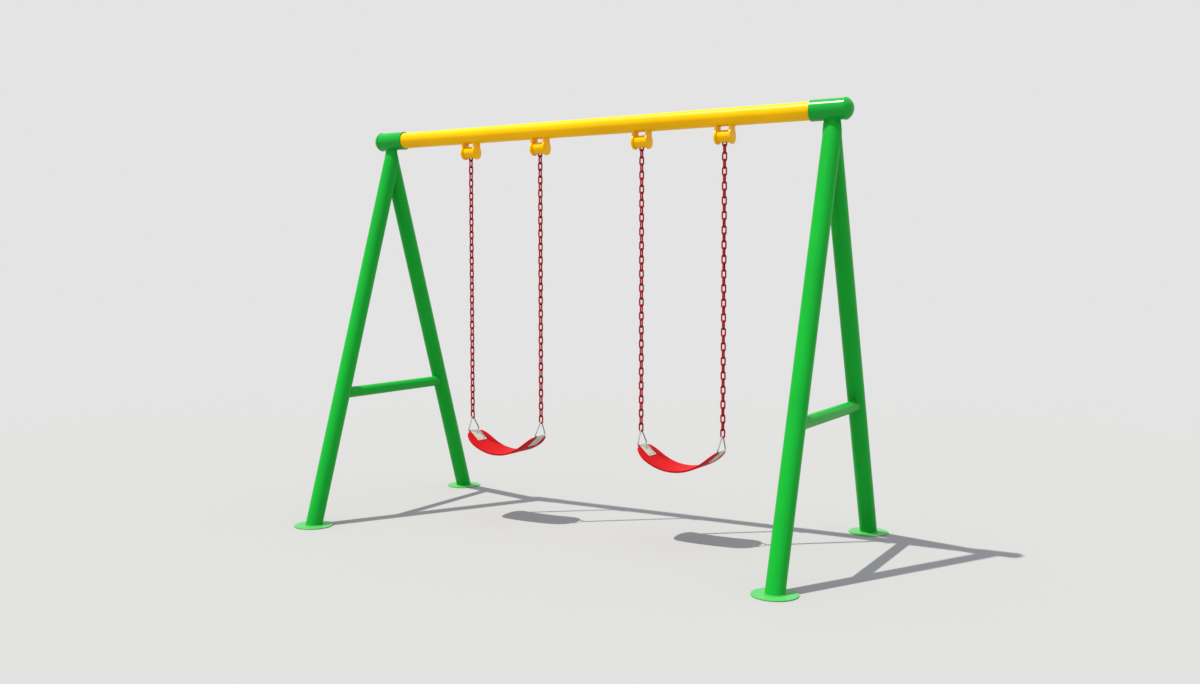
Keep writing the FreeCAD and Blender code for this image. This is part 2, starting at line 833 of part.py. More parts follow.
def headed_rivet(name, diameter, length):
    """A rivet along Z with a domed head at each end."""
    body = new_body(name)
    outline = new_sketch(body, "XZ_Plane", f"{name}_outline")
    seat = f"({length}) / 2"
    head = "rivet_head_diameter / 2"
    rise = "rivet_head_height"
    dome = f"(({head})^2 + {rise}^2) / (2 * {rise})"
    corners = [
        ("0", f"-({seat}) - {rise}"),
        (head, f"-({seat})"),
        (f"({diameter}) / 2", f"-({seat})"),
        (f"({diameter}) / 2", seat),
        (head, seat),
        ("0", f"{seat} + {rise}"),
    ]
    arcs = {
        0: ("0", f"{dome} - {rise} - {seat}", 1),
        4: ("0", f"{seat} + {rise} - {dome}", 1),
    }
    draw_outline(outline, corners, arcs)
    revolve(body, outline, "Z_Axis", f"{name}_turned")
    return body


def make_ring(name, height):
    """A triangular ring: apex up in the chain's last link, base bar in the plate's fold."""
    body = new_body(name)
    apex = value("ring_apex_radius")
    corner = value("ring_corner_radius")
    corner_y = value("ring_half_width") - corner
    apex_z = height - apex
    # The straight side touches both arcs: its outward normal is at this angle.
    reach = math.hypot(corner_y, corner - apex_z)
    normal = math.atan2(corner - apex_z, corner_y) + math.acos((apex - corner) / reach)
    direction = (math.cos(normal), math.sin(normal))
    path = new_sketch(body, "YZ_Plane", f"{name}_path")
    corners = [
        ("0", "0"),
        ("ring_half_width - ring_corner_radius", "0"),
        (f"{corner_y + corner * direction[0]}", f"{corner + corner * direction[1]}"),
        (f"{apex * direction[0]}", f"{apex_z + apex * direction[1]}"),
        ("0", f"{height}"),
    ]
    arcs = {
        1: ("ring_half_width - ring_corner_radius", "ring_corner_radius", 1),
        3: ("0", f"{apex_z}", 1),
    }
    draw_outline(path, corners, arcs, closed=False)
    section = new_sketch(body, "XZ_Plane", f"{name}_section")
    draw_circle(section, "ring_wire")
    half = sweep(body, section, path, f"{name}_half")
    mirror(body, half, "XZ_Plane", f"{name}_other_half")
    return body


belt_centre_height = value("belt_centre_height")
fold_across, fold_up = (value(part) for part in belt_point("belt_arc_angle", "0", TAIL_LENGTH))
ring_apex_height = value("last_link_bottom_height + link_wire / 2 + ring_wire / 2 + link_clearance")
bar_height = belt_centre_height + fold_up + value("bar_play")
ring_rise = ring_apex_height - bar_height
ring_offset = value("chain_half_spacing") - fold_across
ring_lean = math.degrees(math.atan2(ring_offset, ring_rise))
ring_height = math.hypot(ring_offset, ring_rise)
grip = "belt_thickness + 2 * plate_thickness + 2 * rivet_seat_gap"
hole_depth = f"{grip} + rivet_hole_overrun"
INSERT = ("insert_thickness", "insert_width", "insert_angle", None)

for swing, centre in zip(SIDES, swing_centres):
    rods = make_rivets(f"{swing}_hole", "rivet_diameter", hole_depth, False)
    holes = group(f"{swing}_rivet_holes", rods)
    insert_blank = make_strip(f"{swing}_insert_blank", *INSERT)
    insert = cut(f"belt_insert_{swing}", insert_blank, holes)
    belt_blank = make_belt_blank(f"{swing}_belt_blank")
    pierced = cut(f"{swing}_belt_pierced", belt_blank, holes)
    belt = cut(f"belt_{swing}", pierced, insert_blank)
    headed = make_rivets(f"{swing}_rivet", "rivet_diameter", grip, True)
    rivets = group(f"belt_rivets_{swing}", headed)
    node(place(belt, x=centre, z=belt_centre_height), f"belt_{swing}")
    node(place(insert, x=centre, z=belt_centre_height), f"belt_insert_{swing}")
    node(place(rivets, x=centre, z=belt_centre_height), f"belt_rivets_{swing}")
    for side, sign in SIDES.items():
        number = 2 * list(SIDES).index(swing) + list(SIDES).index(side) + 1
        plate_blank = make_plate(f"seat_plate_{number}_blank")
        place(plate_blank, angle=0 if sign > 0 else 180)
        plate = cut(f"seat_plate_{number}", plate_blank, holes)
        node(place(plate, x=centre, z=belt_centre_height), f"seat_plate_{number}")
        x = centre + sign * fold_across
        ring = make_ring(f"ring_{number}", ring_height)
        place(ring, x=x, z=bar_height, axis=Vector(0, 1, 0), angle=sign * ring_lean)
        node(ring, f"ring_{number}")

# ------------------------------------------------------------------------- check and save

document.recompute()

failed = [part.Label for part in document.Objects if {"Invalid", "Error"} & set(part.State)]
if failed:
    raise RuntimeError(f"features that failed: {failed}")
failed = [part.Label for part in nodes if part.Shape.isNull() or not part.Shape.isValid()]
if failed:
    raise RuntimeError(f"sub-parts without a valid shape: {failed}")

os.makedirs("parts", exist_ok=True)
for part in nodes:
    part.Shape.exportStep(f"parts/{part.Label}.step")
print(len(nodes), "sub-parts written")
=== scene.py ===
"""Looks of a two-seat playground swing set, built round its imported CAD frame.

X runs along the beam, Y from front to back and Z up, in metres, as in the CAD model.
Meshes are made in place, so an object's own coordinates are the row frame's.
"""
import json
import math

import bmesh
import bpy
import numpy as np
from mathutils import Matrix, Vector


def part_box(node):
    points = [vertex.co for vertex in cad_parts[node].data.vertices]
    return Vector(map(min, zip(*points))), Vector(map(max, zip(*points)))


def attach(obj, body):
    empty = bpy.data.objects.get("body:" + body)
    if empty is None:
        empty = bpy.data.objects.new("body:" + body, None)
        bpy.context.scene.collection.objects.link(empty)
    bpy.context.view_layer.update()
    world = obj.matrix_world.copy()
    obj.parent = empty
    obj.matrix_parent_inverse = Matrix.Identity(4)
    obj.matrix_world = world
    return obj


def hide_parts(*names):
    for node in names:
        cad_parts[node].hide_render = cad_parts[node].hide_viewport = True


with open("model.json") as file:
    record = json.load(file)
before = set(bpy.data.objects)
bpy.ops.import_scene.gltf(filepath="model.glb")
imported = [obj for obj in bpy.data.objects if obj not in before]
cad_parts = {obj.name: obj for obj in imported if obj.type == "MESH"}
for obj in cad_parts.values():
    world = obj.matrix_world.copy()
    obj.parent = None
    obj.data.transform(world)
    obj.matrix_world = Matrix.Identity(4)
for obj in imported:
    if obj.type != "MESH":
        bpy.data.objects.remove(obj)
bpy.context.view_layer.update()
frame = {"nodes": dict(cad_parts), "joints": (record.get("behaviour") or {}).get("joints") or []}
cad_nodes = frame["nodes"]
scene = bpy.context.scene

MM = 0.001
X_AXIS, Y_AXIS, Z_AXIS = np.eye(3)
SIDES = {"left": -1, "right": 1}
ENDS = {"front": -1, "back": 1}


# ------------------------------------------------------------------ what the frame says


def centre_of(node):
    """Middle of a CAD node's box."""
    low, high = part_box(node)
    return (low + high) / 2


def size_of(node):
    """Lengths of the sides of a CAD node's box."""
    low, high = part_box(node)
    return high - low


joint_places = {joint["child"]: Vector(joint["pos_m"]) for joint in frame["joints"]}
beam_height = centre_of("beam_tube").z
beam_radius = size_of("beam_tube").z / 2
sleeve_radius = size_of("sleeve_left").z / 2
leg_radius = size_of("leg_left_front").x / 2
brace_radius = size_of("brace_left").z / 2
flange_thickness = size_of("flange_left_front").z
LEG_APEX_HEIGHT = 2015 * MM

SMALLEST_GAP = 0.0005 * MM

# ----------------------------------------------------------------------- mesh building


class Shape:
    """Vertices and faces gathered from several closed surfaces."""

    def __init__(self):
        self.vertices = []
        self.faces = []
        self.wear = []

    def add(self, surface, wear=None):
        """Appends a surface; wear is one number for each of its vertices."""
        vertices, faces = surface
        first = len(self.vertices)
        self.vertices.extend(vertices.tolist())
        self.faces.extend([[first + corner for corner in face] for face in faces])
        self.wear.extend([0.0] * len(vertices) if wear is None else list(wear))
        return self


def make_piece(name, shape, material, body, replaced=(), sharp_angle=38):
    """Makes an object from a shape and puts it on a CAD body."""
    mesh = bpy.data.meshes.new(name)
    mesh.from_pydata(shape.vertices, [], shape.faces)
    if any(shape.wear):
        attribute = mesh.attributes.new("wear", "FLOAT", "POINT")
        attribute.data.foreach_set("value", np.array(shape.wear, np.float32))
    work = bmesh.new()
    work.from_mesh(mesh)
    bmesh.ops.remove_doubles(work, verts=work.verts, dist=SMALLEST_GAP)
    bmesh.ops.dissolve_degenerate(work, edges=work.edges, dist=SMALLEST_GAP)
    bmesh.ops.recalc_face_normals(work, faces=work.faces)
    work.to_mesh(mesh)
    work.free()
    mesh.shade_smooth()
    mesh.set_sharp_from_angle(angle=math.radians(sharp_angle))
    mesh.materials.append(material)
    piece = bpy.data.objects.new(name, mesh)
    scene.collection.objects.link(piece)
    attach(piece, body)
    if replaced:
        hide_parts(*replaced)
    return piece


def grid_faces(rows, columns, rows_closed, columns_closed):
    """Quads between the points of a grid that is numbered row by row."""
    faces = []
    for row in range(rows if rows_closed else rows - 1):
        next_row = (row + 1) % rows
        for column in range(columns if columns_closed else columns - 1):
            next_column = (column + 1) % columns
            faces.append([
                row * columns + column,
                row * columns + next_column,
                next_row * columns + next_column,
                next_row * columns + column,
            ])
    return faces


def unit(vectors):
    """The same vectors, each of length 1."""
    return vectors / np.linalg.norm(vectors, axis=-1, keepdims=True)


def wire(path, radius, reference, sides=12, closed=True):
    """A round wire along a path; reference is a direction that the path never takes."""
    path = np.asarray(path, float)
    if closed:
        tangent = np.roll(path, -1, 0) - np.roll(path, 1, 0)
    else:
        tangent = np.gradient(path, axis=0)
    across = unit(np.cross(unit(tangent), reference))
    up = np.cross(across, unit(tangent))
    turn = 2 * math.pi * np.arange(sides) / sides
    radius = np.broadcast_to(radius, len(path))[:, None, None]
    spokes = np.cos(turn)[None, :, None] * across[:, None, :]
    spokes = spokes + np.sin(turn)[None, :, None] * up[:, None, :]
    vertices = (path[:, None, :] + radius * spokes).reshape(-1, 3)
    faces = grid_faces(len(path), sides, closed, True)
    if not closed:
        faces.append(list(range(sides)))
        faces.append(list(range(len(vertices) - sides, len(vertices))))
    return vertices, faces


def evenly(path, spacing, closed=True):
    """Points at even steps along a path, about the spacing apart."""
    path = np.asarray(path, float)
    if closed:
        path = np.vstack([path, path[:1]])
    steps = np.linalg.norm(np.diff(path, axis=0), axis=1)
    travel = np.concatenate([[0], np.cumsum(steps)])
    count = max(int(round(travel[-1] / spacing)), 4)
    places = np.linspace(0, travel[-1], count + 1)
    if closed:
        places = places[:-1]
    columns = [np.interp(places, travel, path[:, axis]) for axis in range(path.shape[1])]
    return np.stack(columns, axis=1)


def arc(centre, radius, start, end, step=6):
    """Points on a circle between two angles in degrees."""
    count = max(int(math.ceil(abs(end - start) / step)), 2)
    angles = np.radians(np.linspace(start, end, count + 1))
    return [(centre[0] + radius * math.cos(a), centre[1] + radius * math.sin(a)) for a in angles]


def rounded(corners, closed=True, step=15):
    """A polygon with each corner (x, y, radius) rounded off to its radius."""
    points = []
    for index, (x, y, radius) in enumerate(corners):
        ending = not closed and index in (0, len(corners) - 1)
        if radius <= 0 or ending:
            points.append((x, y))
            continue
        here = np.array([x, y])
        before = unit(np.array(corners[index - 1][:2]) - here)
        after = unit(np.array(corners[(index + 1) % len(corners)][:2]) - here)
        half = math.acos(np.clip(before @ after, -1, 1)) / 2
        middle = here + unit(before + after) * radius / math.sin(half)
        first = here + before * radius / math.tan(half) - middle
        last = here + after * radius / math.tan(half) - middle
        start = math.degrees(math.atan2(first[1], first[0]))
        turn = math.degrees(math.atan2(last[1], last[0])) - start
        turn = (turn + 180) % 360 - 180
        points.extend(arc(middle, radius, start, start + turn, step))
    return points


def lathe(profile, segments=64, closed=False):
    """Turns a profile of (radius, height) pairs about Z."""
    profile = np.asarray(profile, float)
    turn = 2 * math.pi * np.arange(segments) / segments
    vertices = np.empty((len(profile), segments, 3))
    vertices[:, :, 0] = profile[:, :1] * np.cos(turn)
    vertices[:, :, 1] = profile[:, :1] * np.sin(turn)
    vertices[:, :, 2] = profile[:, 1:]
    return vertices.reshape(-1, 3), grid_faces(len(profile), segments, closed, True)


def moved(surface, place, along=Z_AXIS):
    """A surface with its Z axis turned to a direction and its origin put at a place."""
    vertices, faces = surface
    turn = Vector((0, 0, 1)).rotation_difference(Vector(along)).to_matrix()
    return vertices @ np.array(turn).T + np.array(place), faces


# ------------------------------------------------------------------ material building


class Finish:
    """A procedural material on the principled shader, in the row frame's coordinates."""

    def __init__(self, name, roughness, metallic=0.0, specular=0.5):
        self.material = bpy.data.materials.new(name)
        self.material.use_nodes = True
        self.tree = self.material.node_tree
        self.shader = self.tree.nodes["Principled BSDF"]
        self.shader.inputs["Roughness"].default_value = roughness
        self.shader.inputs["Metallic"].default_value = metallic
        self.shader.inputs["Specular IOR Level"].default_value = specular
        self.place = self.tree.nodes.new("ShaderNodeTexCoord").outputs["Object"]

    def link(self, source, target):
        self.tree.links.new(source, target)

    def stretched(self, scale):
        """The coordinates, scaled by a different amount along each axis."""
        mapping = self.tree.nodes.new("ShaderNodeMapping")
        mapping.inputs["Scale"].default_value = scale
        self.link(self.place, mapping.inputs["Vector"])
        return mapping.outputs["Vector"]

    def noise(self, scale, detail=3.0, roughness=0.55, place=None):
        """Noise with features about 1 / scale metres across."""
        node = self.tree.nodes.new("ShaderNodeTexNoise")
        node.inputs["Scale"].default_value = scale
        node.inputs["Detail"].default_value = detail
        node.inputs["Roughness"].default_value = roughness
        self.link(place or self.place, node.inputs["Vector"])
        return node.outputs["Fac"]

    def ramp(self, factor, stops):
        """Colours at positions along a factor; stops are (position, colour) pairs."""
        node = self.tree.nodes.new("ShaderNodeValToRGB")
        elements = node.color_ramp.elements
        while len(elements) < len(stops):
            elements.new(0.5)
        for element, (position, colour) in zip(elements, stops):
            element.position = position
            element.color = (*colour, 1.0)
        self.link(factor, node.inputs["Fac"])
        return node.outputs["Color"]

    def spread(self, factor, low, high, to_low, to_high):
        """A factor carried from one range of numbers to another."""
        node = self.tree.nodes.new("ShaderNodeMapRange")
        ends = {"From Min": low, "From Max": high, "To Min": to_low, "To Max": to_high}
        for name, number in ends.items():
            node.inputs[name].default_value = number
        self.link(factor, node.inputs["Value"])
        return node.outputs["Result"]

    def mix(self, factor, first, second_colour):
        """The first colour where the factor is 0, the second where it is 1."""
        node = self.tree.nodes.new("ShaderNodeMix")
        node.data_type = "RGBA"
        self.link(factor, node.inputs["Factor"])
        colours = [socket for socket in node.inputs if socket.type == "RGBA"]
        self.link(first, colours[0])
        colours[1].default_value = (*second_colour, 1.0)
        return next(socket for socket in node.outputs if socket.type == "RGBA")

    def times(self, first, second):
        """The product of two factors."""
        node = self.tree.nodes.new("ShaderNodeMath")
        node.operation = "MULTIPLY"
        self.link(first, node.inputs[0])
        self.link(second, node.inputs[1])
        return node.outputs["Value"]

    def attribute(self, name):
        """A number stored on the mesh's vertices."""
        node = self.tree.nodes.new("ShaderNodeAttribute")
        node.attribute_name = name
        return node.outputs["Fac"]

    def height(self):
        """How high a point is above the ground."""
        node = self.tree.nodes.new("ShaderNodeSeparateXYZ")
        self.link(self.place, node.inputs["Vector"])
        return node.outputs["Z"]

    def colour(self, output):
        self.link(output, self.shader.inputs["Base Color"])

    def roughness(self, factor, low, high):
        self.link(self.spread(factor, 0.3, 0.7, low, high), self.shader.inputs["Roughness"])

    def bump(self, layers):
        """Surface relief; layers are (height, strength, depth in metres)."""
        normal = None
        for height, strength, depth in layers:
            node = self.tree.nodes.new("ShaderNodeBump")
            node.inputs["Strength"].default_value = strength
            node.inputs["Distance"].default_value = depth
            self.link(height, node.inputs["Height"])
            if normal is not None:
                self.link(normal, node.inputs["Normal"])
            normal = node.outputs["Normal"]
        self.link(normal, self.shader.inputs["Normal"])


def shaded(colour, share):
    """A colour made darker (share below 1) or lighter (above 1)."""
    return tuple(min(channel * share, 1.0) for channel in colour)


DUST = (0.75, 0.74, 0.70)


def powder_coat(name, colour, roughness, specular=0.10, dusty=False):
    """Gloss powder coat: orange peel, faint uneven film, small scuffs, dust by the ground."""
    finish = Finish(name, roughness, specular=specular)
    film = finish.noise(3.5, detail=2)
    paint = finish.ramp(film, [(0.3, shaded(colour, 0.95)), (0.7, shaded(colour, 1.05))])
    scuffs = finish.noise(1.0, 4, 0.6, finish.stretched((60, 60, 9)))
    paint = finish.mix(finish.spread(scuffs, 0.70, 0.78, 0.0, 0.30), paint, shaded(colour, 0.72))
    if dusty:
        low = finish.spread(finish.height(), 0.0075, 0.0120, 1.0, 0.0)
        haze = finish.spread(finish.noise(30, 5, 0.6), 0.30, 0.70, 0.06, 0.11)
        paint = finish.mix(finish.times(low, haze), paint, DUST)
    finish.colour(paint)
    finish.roughness(finish.noise(14, detail=4), roughness - 0.05, roughness + 0.08)
    peel = finish.noise(420, detail=1.5, roughness=0.4)
    finish.bump([(film, 0.25, 0.0006), (peel, 0.12, 0.00035)])
    return finish.material


def dip_coat(name, colour, bare):
    """Soft plastic dip coat, worn down to darker metal where links rub."""
    finish = Finish(name, 0.46, specular=0.12)
    film = finish.noise(90, detail=3)
    paint = finish.ramp(film, [(0.3, shaded(colour, 0.82)), (0.7, shaded(colour, 1.15))])
    grime = finish.spread(finish.noise(28, 4, 0.6), 0.55, 0.80, 0.0, 0.30)
    paint = finish.mix(grime, paint, shaded(colour, 0.45))
    rubbed = finish.times(finish.attribute("wear"), finish.spread(film, 0.35, 0.6, 0.25, 0.8))
    paint = finish.mix(rubbed, paint, bare)
    finish.colour(paint)
    finish.link(finish.spread(rubbed, 0, 1, 0, 0.6), finish.shader.inputs["Metallic"])
    finish.roughness(finish.noise(160, detail=4), 0.34, 0.52)
    finish.bump([(film, 0.35, 0.0005), (finish.noise(900, 2), 0.15, 0.0001)])
    return finish.material


def moulded_rubber(name, colour):
    """Moulded belt rubber: fine pebble grain, flow marks, scuffs and a little dust."""
    finish = Finish(name, 0.6, specular=0.06)
    flow = finish.noise(1.0, 3, 0.5, finish.stretched((5, 14, 14)))
    rubber = finish.ramp(flow, [(0.28, shaded(colour, 0.88)), (0.72, shaded(colour, 1.08))])
    scuffs = finish.noise(1.0, 5, 0.65, finish.stretched((26, 140, 90)))
    paler = (colour[0] * 1.04, colour[1] + 0.012, colour[2] + 0.011)
    rubber = finish.mix(finish.spread(scuffs, 0.60, 0.80, 0.0, 0.35), rubber, paler)
    marks = finish.spread(finish.noise(17, 4, 0.6), 0.62, 0.80, 0.0, 0.35)
    finish.colour(finish.mix(marks, rubber, shaded(colour, 0.62)))
    finish.roughness(finish.noise(35, detail=5), 0.52, 0.68)
    grain = finish.noise(650, detail=2, roughness=0.5)
    finish.bump([(flow, 0.3, 0.0010), (grain, 0.30, 0.00025)])
    return finish.material


def brushed_steel(name, colour, roughness, along, metallic=1.0):
    """Sheet or bar steel with fine lines; along scales the grain on each axis."""
    finish = Finish(name, roughness, metallic=metallic)
    lines = finish.noise(1.0, 4, 0.6, finish.stretched(along))
    tint = finish.ramp(lines, [(0.25, shaded(colour, 0.86)), (0.75, shaded(colour, 1.08))])
    blotches = finish.spread(finish.noise(38, 4, 0.6), 0.56, 0.78, 0.0, 0.5)
    finish.colour(finish.mix(blotches, tint, shaded(colour, 0.70)))
    finish.roughness(finish.noise(70, detail=4), roughness - 0.08, roughness + 0.12)
    finish.bump([(lines, 0.20, 0.00012)])
    return finish.material


def zinc_coat(name, colour, roughness):
    """Galvanised steel: soft crystal patches over a dull metal."""
    finish = Finish(name, roughness, metallic=0.9)
    crystals = finish.tree.nodes.new("ShaderNodeTexVoronoi")
    crystals.inputs["Scale"].default_value = 180
    finish.link(finish.place, crystals.inputs["Vector"])
    patches = crystals.outputs["Distance"]
    tint = finish.ramp(patches, [(0.1, shaded(colour, 1.12)), (0.8, shaded(colour, 0.80))])
    film = finish.spread(finish.noise(45, 4, 0.6), 0.50, 0.75, 0.0, 0.5)
    finish.colour(finish.mix(film, tint, shaded(colour, 0.62)))
    finish.roughness(finish.noise(120, detail=3), roughness - 0.06, roughness + 0.14)
    finish.bump([(patches, 0.10, 0.0001), (finish.noise(700, 3), 0.10, 0.00008)])
    return finish.material


GREEN = (0.004, 0.330, 0.024)
CAP_GREEN = (0.005, 0.325, 0.028)
YELLOW = (0.900, 0.470, 0.000)
CHAIN_RED = (0.370, 0.002, 0.008)
BELT_RED = (0.430, 0.002, 0.004)
BARE_STEEL = (0.120, 0.075, 0.070)

FINISHES = {
    "yellow_powder_coat": powder_coat("yellow_powder_coat", YELLOW, 0.30),
    "green_powder_coat": powder_coat("green_powder_coat", GREEN, 0.32, dusty=True),
    "green_cap": powder_coat("green_cap", CAP_GREEN, 0.20, specular=0.18),
    "red_chain_coat": dip_coat("red_chain_coat", CHAIN_RED, BARE_STEEL),
    "red_belt_rubber": moulded_rubber("red_belt_rubber", BELT_RED),
    "plate_steel": brushed_steel("plate_steel", (0.55, 0.53, 0.44), 0.55, (30, 900, 30), 0.5),
    "ring_steel": zinc_coat("ring_steel", (0.38, 0.38, 0.39), 0.38),
    "rivet_steel": brushed_steel("rivet_steel", (0.33, 0.32, 0.31), 0.38, (300, 300, 300)),
    "bearing_steel": brushed_steel("bearing_steel", (0.60, 0.60, 0.61), 0.22, (900, 40, 40)),
    "zinc_steel": zinc_coat("zinc_steel", (0.36, 0.36, 0.37), 0.36),
    "spring_steel": brushed_steel("spring_steel", (0.30, 0.31, 0.33), 0.34, (30, 900, 30)),
}

NODE_SLOTS = {
    "beam_tube": "yellow_powder_coat",
    "sleeve_left": "green_cap",
    "sleeve_right": "green_cap",
    "sleeve_set_screws": "zinc_steel",
    "brace_left": "green_powder_coat",
    "brace_right": "green_powder_coat",
    "bearing_inner_rings": "bearing_steel",
    "belt_insert_left": "spring_steel",
    "belt_insert_right": "spring_steel",
}
for side in SIDES:
    for end in ENDS:
        NODE_SLOTS[f"leg_{side}_{end}"] = "green_powder_coat"
for number in range(1, 5):
    NODE_SLOTS[f"hanger_{number}_pin"] = "yellow_powder_coat"
    NODE_SLOTS[f"hanger_{number}_bearings"] = "bearing_steel"

for name, slot in NODE_SLOTS.items():
    materials = cad_nodes[name].data.materials
    materials.clear()
    materials.append(FINISHES[slot])
for name in ("sleeve_left", "sleeve_right"):
    bevel = cad_nodes[name].modifiers.new("rounded_edges", "BEVEL")
    bevel.width = 2.5 * MM
    bevel.segments = 3
    bevel.angle_limit = math.radians(50)

# --------------------------------------------------------------------------- weld beads

WELD_STEP = 0.75 * MM
WELD_PITCH = 3.2 * MM
FOOT_WELD = 3.2 * MM
SLEEVE_WELD = 2.6 * MM
BRACE_WELD = 2.4 * MM
CHEEK_WELD = 2.0 * MM
EYE_WELD = 1.3 * MM


def weld(path, radius, reference, closed=True):
    """A bead along a path, with the small scales that a welder's passes leave."""
    points = evenly(path, WELD_STEP, closed)
    travel = np.arange(len(points)) * WELD_STEP
    radii = radius * (1 + 0.10 * np.abs(np.sin(math.pi * travel / WELD_PITCH)))
    if not closed:
        fade = np.minimum(np.arange(len(points)), np.arange(len(points))[::-1]) * WELD_STEP
        radii = radii * np.sqrt(np.clip(fade / radius + 0.05, 0, 1))
    return wire(points, radii, reference, sides=8, closed=closed)


def leg_line(side, end):
    """A point on a leg's centre line at the ground, and the line's direction upwards."""
    foot = centre_of(f"flange_{side}_{end}")
    base = np.array([foot.x, foot.y, 0.0])
    top = np.array([foot.x, 0.0, LEG_APEX_HEIGHT])
    return base, unit(top - base)


def cylinder_hits(points, direction, centre, axis, radius):
    """How far points travel in a direction to meet a long cylinder, first and last."""
    flat = np.eye(3) - np.outer(axis, axis)
    slope = flat @ direction
    offset = (points - centre) @ flat
    a = slope @ slope
    b = offset @ slope
    c = np.sum(offset * offset, axis=1) - radius * radius
    root = np.sqrt(np.clip(b * b - a * c, 0, None))
    return (-b - root) / a, (-b + root) / a


def leg_welds(side, end):
    """Beads round one leg: on its flange, under its sleeve, and along the mitre."""
    base, along = leg_line(side, end)
    across = unit(np.cross(along, X_AXIS))
    turn = np.radians(np.arange(0, 360, 1.0))[:, None]
    rim = base + leg_radius * (np.cos(turn) * X_AXIS + np.sin(turn) * across)
    on_flange = rim + along * ((flange_thickness - rim[:, 2:]) / along[2])
    beam_line = np.array([0.0, 0.0, beam_height])
    to_sleeve, _ = cylinder_hits(rim, along, beam_line, X_AXIS, sleeve_radius)
    to_mitre = -rim[:, 1] / along[1]
    on_sleeve = rim + along * to_sleeve[:, None]
    under = to_sleeve < to_mitre
    first = int(np.argmax(under & ~np.roll(under, 1)))
    order = np.roll(np.arange(len(rim)), -first)
    count = int(under.sum())
    beads = [
        weld(on_flange, FOOT_WELD, Z_AXIS),
        weld(on_sleeve[order[:count]], SLEEVE_WELD, along, closed=False),
    ]
    if end == "back":
        on_mitre = rim + along * to_mitre[:, None]
        halves = np.sign(rim[:, 0] - base[0])
        for half in (-1, 1):
            seam = on_mitre[~under & (halves == half)]
            seam = seam[np.argsort(seam[:, 2])]
            beads.append(weld(seam, SLEEVE_WELD, Y_AXIS, closed=False))
    return beads


def brace_welds(side):
    """A bead round each end of a brace, where it meets its leg."""
    middle = centre_of(f"brace_{side}")
    turn = np.radians(np.arange(0, 360, 1.5))[:, None]
    rim = np.array(middle) + brace_radius * (np.cos(turn) * X_AXIS + np.sin(turn) * Z_AXIS)
    beads = []
    for end, end_sign in ENDS.items():
        base, along = leg_line(side, end)
        outwards = Y_AXIS * end_sign
        reach, _ = cylinder_hits(rim, outwards, base, along, leg_radius)
        beads.append(weld(rim + outwards * reach[:, None], BRACE_WELD, Y_AXIS))
    return beads


green_beads = Shape()
for side in SIDES:
    for end in ENDS:
        for bead in leg_welds(side, end):
            green_beads.add(bead)
    for bead in brace_welds(side):
        green_beads.add(bead)
make_piece("frame_welds", green_beads, FINISHES["green_powder_coat"], "frame")

# --------------------------------------------------------------------- flanges and caps

FLANGE_ROUNDING = 1.6 * MM
FLANGE_FOOT_ROUNDING = 0.6 * MM

for side in SIDES:
    for end in ENDS:
        node = f"flange_{side}_{end}"
        foot = centre_of(node)
        radius = size_of(node).x / 2
        corners = [
            (0, 0, 0),
            (radius, 0, FLANGE_FOOT_ROUNDING),
            (radius, flange_thickness, FLANGE_ROUNDING),
            (0, flange_thickness, 0),
        ]
        disc = lathe(rounded(corners, closed=False), segments=128)
        shape = Shape().add(moved(disc, (foot.x, foot.y, 0.0)))
        make_piece(f"{node}_disc", shape, FINISHES["green_powder_coat"], "frame",
                   [node])

CAP_RIM = 7 * MM
CAP_WALL = 3 * MM
CAP_SPIGOT = 3 * MM
CAP_SHOULDER_ROUNDING = 5 * MM
CAP_RIM_ROUNDING = 1.4 * MM
CAP_STEP_ROUNDING = 0.3 * MM
CAP_SPIGOT_ROUNDING = 0.5 * MM
CAP_INNER_ROUNDING = 4 * MM
CAP_INNER_DOME_ROUNDING = 20 * MM


def cap_profile(radius, spigot_radius, rim_end, depth):
    """Outline of a domed cap, from its tip at the axis round to the hollow inside."""
    rise = depth - CAP_RIM
    dome = (radius**2 + rise**2) / (2 * rise)
    top = math.degrees(math.acos((dome - rise) / dome))
    outside = [(dome * math.sin(a), rim_end + CAP_RIM + rise - dome + dome * math.cos(a))
               for a in np.radians(np.linspace(0, top * 0.93, 24))]
    rim = rounded([
        (*outside[-1], 0),
        (radius, rim_end + CAP_RIM * 0.9, CAP_SHOULDER_ROUNDING),
        (radius, rim_end, CAP_RIM_ROUNDING),
        (spigot_radius, rim_end, CAP_STEP_ROUNDING),
        (spigot_radius, rim_end - CAP_SPIGOT, CAP_SPIGOT_ROUNDING),
        (spigot_radius - CAP_WALL, rim_end - CAP_SPIGOT, CAP_SPIGOT_ROUNDING),
        (spigot_radius - CAP_WALL, rim_end + CAP_RIM, CAP_INNER_ROUNDING),
        (spigot_radius * 0.55, rim_end + CAP_RIM + rise * 0.72, CAP_INNER_DOME_ROUNDING),
        (0, rim_end + depth - CAP_WALL, 0),
    ], closed=False, step=6)
    return outside[:-1] + rim


for side, sign in SIDES.items():
    node = f"end_cap_{side}"
    low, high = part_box(node)
    radius = (high.z - low.z) / 2
    rim_end = size_of("sleeve_left").x / 2 + abs(centre_of(f"sleeve_{side}").x)
    tip = max(abs(low.x), abs(high.x))
    profile = cap_profile(radius, beam_radius, rim_end, tip - rim_end)
    dome = lathe(profile, segments=96)
    shape = Shape().add(moved(dome, (0, 0, beam_height), X_AXIS * sign))
    make_piece(f"{node}_dome", shape, FINISHES["green_cap"], "frame", [node])

# ------------------------------------------------------------------------------ hangers

